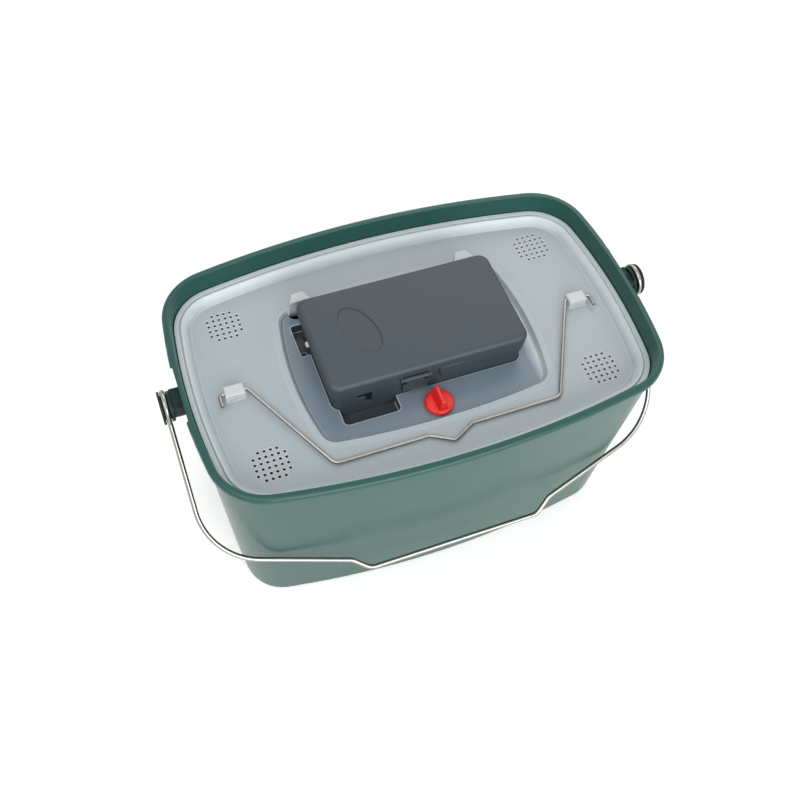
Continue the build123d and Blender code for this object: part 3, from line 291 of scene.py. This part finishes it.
# Bright zinc on drawn steel wire.
zinc_wire = metal("zinc_wire", "#9D9B95", 0.2, 0.0009)
# Nickel on small steel fittings.
nickel_steel = metal("nickel_steel", "#BDBAB2", 0.24, 0.0008)
# Rolled brass strip.
brass_strip = metal("brass_strip", "#C9A458", 0.3, 0.0008)
# Drawn can of the small motor.
motor_can = metal("motor_can", "#A9AAA8", 0.34, 0.001)

finish_of_slot = {
    "green_plastic": green_polypropylene,
    "steel_wire": zinc_wire,
    "clear_plastic": natural_polypropylene,
    "red_plastic": red_acetal,
    "natural_plastic": white_nylon,
    "steel_fittings": nickel_steel,
    "grey_plastic": grey_abs,
    "black_plastic": black_polyamide,
    "cell_jacket": cell_jacket,
    "brass_strip": brass_strip,
    "motor_can": motor_can,
    "black_rubber": black_rubber,
    "soft_tube": soft_vinyl,
    "lead_insulation": red_vinyl,
}


# ---------------------------------------------------------------- pieces
bodies = frame["record"]["behaviour"]["bodies"]
body_of_node = {node: body for body, held in bodies.items() for node in held}


def dressed(node, *finishes):
    """A merged, smooth-shaded copy of a CAD node that stands for it. A second finish, with painted shade,
    is for its lugs.
    """
    mesh = frame["nodes"][node].data.copy()
    mesh.name = f"{node}_skin"
    shape = bmesh.new()
    shape.from_mesh(mesh)
    bmesh.ops.remove_doubles(shape, verts=shape.verts, dist=merge_distance)
    limit = math.radians(crease_angle)
    for face in shape.faces:
        face.smooth = True
    for edge in shape.edges:
        edge.smooth = len(edge.link_faces) == 2 and edge.calc_face_angle(0.0) < limit
    shape.to_mesh(mesh)
    shape.free()
    mesh.materials.clear()
    for entry in finishes:
        mesh.materials.append(entry)
    if len(finishes) > 1:
        for face in mesh.polygons:
            furthest = max(abs(mesh.vertices[corner].co.x) for corner in face.vertices)
            face.material_index = int(furthest > lug_start)
    piece = bpy.data.objects.new(f"{node}_skin", mesh)
    bpy.context.collection.objects.link(piece)
    level = piece.modifiers.new("level_faces", "WEIGHTED_NORMAL")
    level.mode = "FACE_AREA"
    level.weight = 100
    level.keep_sharp = True
    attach(piece, body_of_node[node])
    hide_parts(node)
    return piece


shown = {
    "bucket": (green_polypropylene, lug_painted_shade),
    "bail_handle": (zinc_wire,),
    "lid": (natural_polypropylene,),
    "lid_handle": (zinc_wire,),
    "turn_button": (red_acetal,),
    "pump_housing": (grey_abs,),
    "pump_cover": (grey_abs,),
    "cover_latch": (grey_abs,),
    "switch_slider": (black_polyamide,),
    "outlet_nozzle": (white_nylon,),
}
for node, finishes in shown.items():
    dressed(node, *finishes)

for entry in frame["record"]["subparts"]:
    node = entry["node"]
    if node not in shown:
        held = frame["nodes"][node]
        held.data.materials.clear()
        held.data.materials.append(finish_of_slot[entry["material_slot"]])


# ---------------------------------------------------------------- floor, light and camera
def seen_by(tree, *kinds):
    """1 for the kinds of rays that show a surface, 0 for those that light another one."""
    rays = add(tree, "ShaderNodeLightPath").outputs
    seen = rays[kinds[0]]
    for kind in kinds[1:]:
        seen = add(tree, "ShaderNodeMath", {0: seen, 1: rays[kind]}, operation="MAXIMUM").outputs["Value"]
    return seen


def make_floor():
    """A pale floor that looks white around the object and keeps its shadow."""
    made, tree = new_material("studio_floor")
    seen = seen_by(tree, "Is Camera Ray", "Is Glossy Ray", "Is Transmission Ray")
    paper = add(tree, "ShaderNodeBsdfDiffuse", {"Color": colour("#EDEDEC")})
    glow = add(tree, "ShaderNodeEmission", {"Color": white, "Strength": product(tree, seen, floor_glow)})
    both = add(tree, "ShaderNodeAddShader", {0: paper.outputs["BSDF"], 1: glow.outputs["Emission"]})
    add(tree, "ShaderNodeOutputMaterial", {"Surface": both.outputs["Shader"]})
    shape = bmesh.new()
    bmesh.ops.create_grid(shape, x_segments=2, y_segments=2, size=floor_half)
    mesh = bpy.data.meshes.new("studio_floor")
    shape.to_mesh(mesh)
    shape.free()
    mesh.materials.append(made)
    floor = bpy.data.objects.new("studio_floor", mesh)
    bpy.context.collection.objects.link(floor)


def make_world():
    """Even pale light from all round."""
    world = bpy.data.worlds.new("studio")
    world.use_nodes = True
    tree = world.node_tree
    tree.nodes.clear()
    level = spread(tree, seen_by(tree, "Is Camera Ray", "Is Glossy Ray"), sky_strength)
    sky = add(tree, "ShaderNodeBackground", {"Color": white, "Strength": level})
    add(tree, "ShaderNodeOutputWorld", {"Surface": sky.outputs["Background"]})
    bpy.context.scene.world = world


def make_lamp(name, place, size, watts):
    """A square soft box that looks at the bucket."""
    light = bpy.data.lights.new(name, "AREA")
    light.shape = "SQUARE"
    light.size = size
    light.energy = watts
    lamp = bpy.data.objects.new(name, light)
    lamp.location = place
    lamp.rotation_euler = (Vector(aim) - Vector(place)).to_track_quat("-Z", "Y").to_euler()
    bpy.context.collection.objects.link(lamp)


def make_camera(place, azimuth, elevation, roll, lens):
    """A camera at a place, turned by its angles in degrees. Azimuth 0 looks along +Y."""
    azimuth, elevation, roll = (math.radians(value) for value in (azimuth, elevation, roll))
    level = math.cos(elevation)
    back = Vector((math.sin(azimuth) * level, -math.cos(azimuth) * level, math.sin(elevation)))
    right = Vector((math.cos(azimuth), math.sin(azimuth), 0))
    up = back.cross(right)
    side = math.cos(roll) * right + math.sin(roll) * up
    top = math.cos(roll) * up - math.sin(roll) * right
    data = bpy.data.cameras.new("camera")
    data.lens = lens
    data.sensor_width = 36.0
    data.clip_end = 20.0
    camera = bpy.data.objects.new("camera", data)
    turn = Matrix((side, top, back)).transposed().to_4x4()
    camera.matrix_world = Matrix.Translation(place) @ turn
    bpy.context.collection.objects.link(camera)
    bpy.context.scene.camera = camera


make_floor()
make_world()
make_lamp("key", (-0.9, -0.5, 1.9), size=1.6, watts=16)
make_lamp("front", (0.1, -1.7, 0.9), size=1.4, watts=27)
make_lamp("fill", (0.9, 1.5, 1.5), size=1.6, watts=11)
make_camera((-0.20624, -0.43658, 0.84145), azimuth=-24.59, elevation=56.77, roll=4.925, lens=44.5)
bpy.context.scene.view_settings.view_transform = "Standard"
